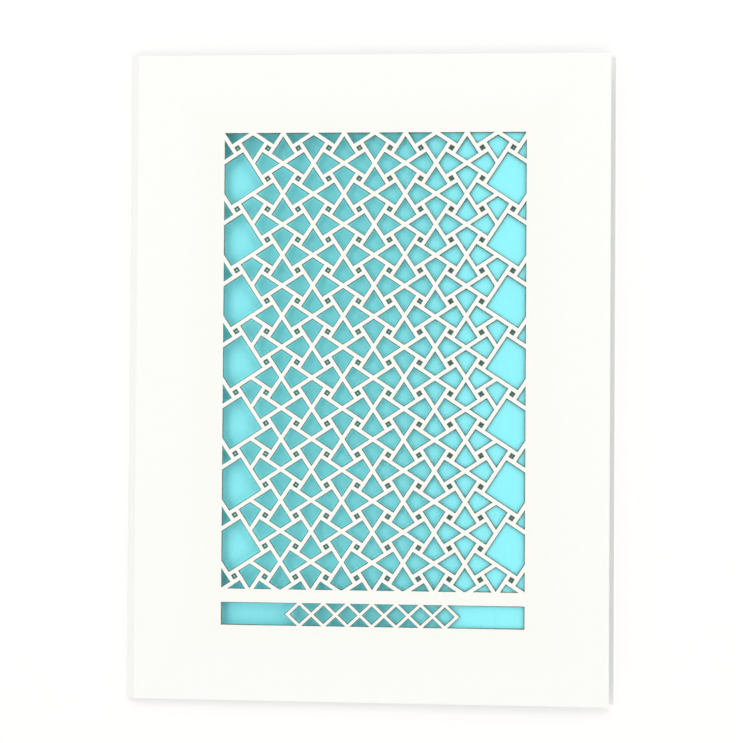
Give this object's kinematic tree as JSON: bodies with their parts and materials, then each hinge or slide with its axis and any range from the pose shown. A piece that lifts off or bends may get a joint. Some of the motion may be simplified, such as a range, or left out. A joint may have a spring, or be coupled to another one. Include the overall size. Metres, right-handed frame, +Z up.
{
  "type": "laser cut greeting card",
  "caption": "Folded greeting card: front leaf pierced with a strapwork lattice over a slot with a chain of lozenges, and a folded coloured paper insert behind it.",
  "frame": {"origin": "middle of the footprint, on the surface that the card lies on", "axes": "+Z up out of the card's front, +Y towards its head, +X from the fold towards the free edges"},
  "size_m": [0.1344, 0.178, 0.0041],
  "materials": {
    "white_card": "matt uncoated card, laser cut edges scorched light brown",
    "aqua_paper": "matt dyed paper"
  },
  "bodies": {
    "root": {"card": "white_card", "insert": "aqua_paper"}
  },
  "joints": []
}
